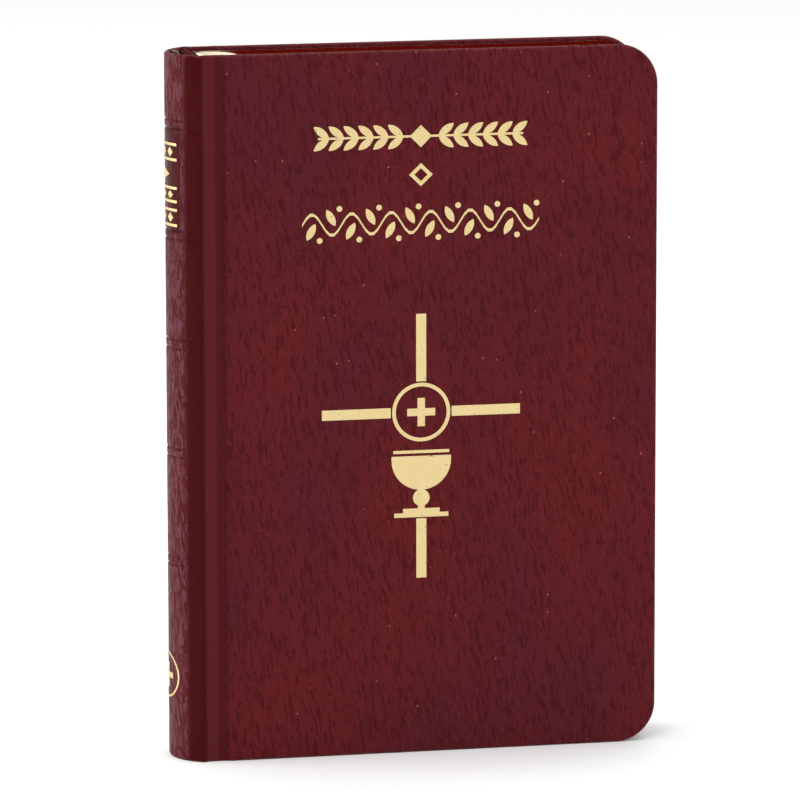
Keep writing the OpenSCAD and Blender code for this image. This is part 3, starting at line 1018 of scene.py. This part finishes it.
class PRAYERBOOK_OT_headbands(bpy.types.Operator):
    """Wraps the beads of the headband and tailband in striped silk"""
    bl_idname = "prayerbook.headbands"
    bl_label = "Headbands"

    def execute(self, context):
        trim = context.scene.prayerbook_trim
        silk = shared_material("Striped silk", striped_silk_material, trim, shared_groups())
        for node in ("headband", "tailband"):
            low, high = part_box(node)
            tail = node == "tailband"
            radius = (PAGES_LOW.z - low.z if tail else high.z - PAGES_HIGH.z) / 2
            height = low.z + radius if tail else high.z - radius
            centre = Vector((high.x, 0, height))
            half = (high.y - low.y) / 2
            deselect_all()
            bpy.ops.mesh.primitive_cylinder_add(vertices=12, radius=radius, depth=2 * half,
                                                location=(0, 0, 0))
            bead = name_piece(node + "_silk")
            self.cut_into_wraps(bead, trim.wraps * 4, half)
            for vertex in bead.data.vertices:
                along = vertex.co.z / half
                swell = 0.90 + 0.12 * abs(math.sin(math.pi * trim.wraps * (along + 1) / 2))
                end = math.sqrt(max(0.1, 1 - max(0, abs(along) - 0.94) / 0.06 * 0.8))
                lean = 0.3 * radius * math.sin(math.atan2(vertex.co.y, vertex.co.x))
                vertex.co = Vector((centre.x + vertex.co.x * swell * end,
                                    max(-half, min(half, vertex.co.z + lean)),
                                    centre.z + vertex.co.y * swell * end))
            face_out(bead)
            finish_mesh(bead, 70)
            paint(bead, "band_cloth", silk)
            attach(bead, "spine")
        return {"FINISHED"}

    def cut_into_wraps(self, bead, count, half):
        def cut_all():
            for i in range(1, count):
                bpy.ops.mesh.select_all(action="SELECT")
                bpy.ops.mesh.bisect(plane_co=(0, 0, -half + 2 * half * i / count),
                                    plane_no=(0, 0, 1))
        edit_whole(bead, cut_all)


class PRAYERBOOK_OT_loose_ends(bpy.types.Operator):
    """Adds the frayed threads of the gauze that show in the hollow of the spine"""
    bl_idname = "prayerbook.loose_ends"
    bl_label = "Frayed gauze"

    def execute(self, context):
        trim = context.scene.prayerbook_trim
        thread = woven_material("Frayed thread", trim.thread, 0.3 * MM, 0.2, "rest")
        top = HEAD - 0.15 * MM
        # each thread by its points: x and y in mm, and mm above the point just below the head
        routes = (
            ((-52.3, 4.3, -0.1), (-52.05, 4.7, -0.8), (-51.8, 4.3, -0.05), (-51.5, 4.7, -0.85),
             (-51.25, 4.4, -0.1), (-50.95, 4.6, -0.95), (-50.7, 4.5, -1.3), (-50.6, 4.5, -2.6),
             (MULL_X / MM, 4.5, -4.4)),
            ((-52.6, 3.2, -1.9), (-51.9, 3.5, -1.5), (-51.2, 3.2, -2.2), (MULL_X / MM, 3.2, -4.6)),
            ((-52.4, -2.9, -2.4), (-51.5, -2.4, -1.9), (MULL_X / MM, -2.6, -4.8)),
        )
        threads = []
        for number, route in enumerate(routes):
            deselect_all()
            curve = bpy.data.curves.new(f"fray_{number}", "CURVE")
            curve.dimensions = "3D"
            spline = curve.splines.new("POLY")
            spline.points.add(len(route) - 1)
            for point, (x, y, drop) in zip(spline.points, route):
                point.co = (x * MM, y * MM, top + drop * MM, 1)
            curve.bevel_depth = FRAY_RADIUS
            curve.bevel_resolution = 2
            curve.use_fill_caps = True
            piece = bpy.data.objects.new(f"fray_{number}", curve)
            context.scene.collection.objects.link(piece)
            pick(piece)
            bpy.ops.object.convert(target="MESH")
            threads.append(context.object)
        fray = join(threads, "gauze_fray")
        finish_mesh(fray, 60)
        paint(fray, "thread", thread)
        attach(fray, "spine")
        return {"FINISHED"}


class PRAYERBOOK_OT_inner_parts(bpy.types.Operator):
    """Gives the boards, papers, cloths, threads and foils their finishes"""
    bl_idname = "prayerbook.inner_parts"
    bl_label = "Boards, papers and gilding"

    def execute(self, context):
        trim = context.scene.prayerbook_trim
        pages = context.scene.prayerbook_pages
        leather = context.scene.prayerbook_leather
        groups = shared_groups()
        endpaper = paper_material("Pasted endpaper", pages.endpaper, groups, "object")
        board = paper_material("Grey board", trim.board, groups, "object", 0.95)
        kraft = paper_material("Kraft card", trim.kraft, groups, "object", 0.9)
        gauze = woven_material("Starched gauze", trim.gauze, 0.9 * MM, 0.55)
        band = woven_material("Band cloth", trim.silk, 0.5 * MM, 0.3, between=trim.stripe)
        linen = woven_material("Waxed linen thread", trim.thread, 0.35 * MM, 0.2)
        foil = foil_material("Gilt foil", trim.foil, leather, groups)
        folds = paper_material("Folded paper backs", pages.paper, groups, "object")
        fold_ends = gilt_edge_material("Gilt ends of the folds", pages, "object")
        finishes = (
            (board, "front_board back_board"),
            (kraft, "spine_inlay spine_lining"),
            (endpaper, "front_pastedown back_pastedown endpaper_tips"),
            (gauze, "front_hinge_cloth back_hinge_cloth mull"),
            (band, "headband tailband"),
            (linen, "sewing_thread"),
            (foil, "front_title_foil front_emblem_foil spine_title_foil spine_medallion_foil"),
            (folds, "section_folds front_flyleaf back_flyleaf"),
            (folds, " ".join(f"section_{i}" for i in range(1, SECTION_COUNT + 1))),
            (kraft, "front_cover_leather back_cover_leather spine_leather"),
        )
        for material, names in finishes:
            for name in names.split():
                materials = frame["nodes"][name].data.materials
                materials.clear()
                materials.append(material)
        for name in ("section_folds", "endpaper_tips", "front_pastedown", "back_pastedown"):
            self.mark_trimmed(frame["nodes"][name], fold_ends)
        return {"FINISHED"}

    def mark_trimmed(self, piece, material):
        """Gives the faces that were cut and coloured with the block the edge material."""
        piece.data.materials.append(material)
        for polygon in piece.data.polygons:
            reach = abs(polygon.center.z - HEAD / 2)
            end = abs(polygon.normal.z) > 0.7 and reach > HEAD / 2 - TRIM_Z
            fore = abs(polygon.normal.y) < 0.5 and polygon.center.x > FORE - TRIM_X
            polygon.material_index = 1 if end or fore else 0


class PRAYERBOOK_PT_panel(bpy.types.Panel):
    """Lists the pieces of the prayer book in the order that they are made"""
    bl_idname = "PRAYERBOOK_PT_panel"
    bl_label = "Prayer Book"
    bl_space_type = "VIEW_3D"
    bl_region_type = "UI"
    bl_category = "Prayer Book"

    def draw(self, context):
        for operator in OPERATORS:
            self.layout.operator(operator.bl_idname)
        for group in ("leather", "pages", "trim", "stage"):
            settings = getattr(context.scene, "prayerbook_" + group)
            box = self.layout.box()
            box.label(text=group.title())
            for key in settings.__annotations__:
                box.prop(settings, key)


SETTINGS = {
    "prayerbook_leather": LeatherSettings, "prayerbook_pages": PageSettings,
    "prayerbook_trim": TrimSettings, "prayerbook_stage": StageSettings,
}
OPERATORS = (
    PRAYERBOOK_OT_stage, PRAYERBOOK_OT_inner_parts, PRAYERBOOK_OT_spine, PRAYERBOOK_OT_covers,
    PRAYERBOOK_OT_sections, PRAYERBOOK_OT_flyleaves, PRAYERBOOK_OT_headbands,
    PRAYERBOOK_OT_loose_ends,
)


def register():
    for group in SETTINGS.values():
        bpy.utils.register_class(group)
    for key, group in SETTINGS.items():
        setattr(bpy.types.Scene, key, PointerProperty(type=group))
    for operator in OPERATORS:
        bpy.utils.register_class(operator)
    bpy.utils.register_class(PRAYERBOOK_PT_panel)


def unregister():
    bpy.utils.unregister_class(PRAYERBOOK_PT_panel)
    for operator in reversed(OPERATORS):
        bpy.utils.unregister_class(operator)
    for key, group in SETTINGS.items():
        delattr(bpy.types.Scene, key)
        bpy.utils.unregister_class(group)


def main():
    register()
    for operator in OPERATORS:
        getattr(bpy.ops.prayerbook, operator.bl_idname.split(".")[1])()


if __name__ == "__main__":
    main()
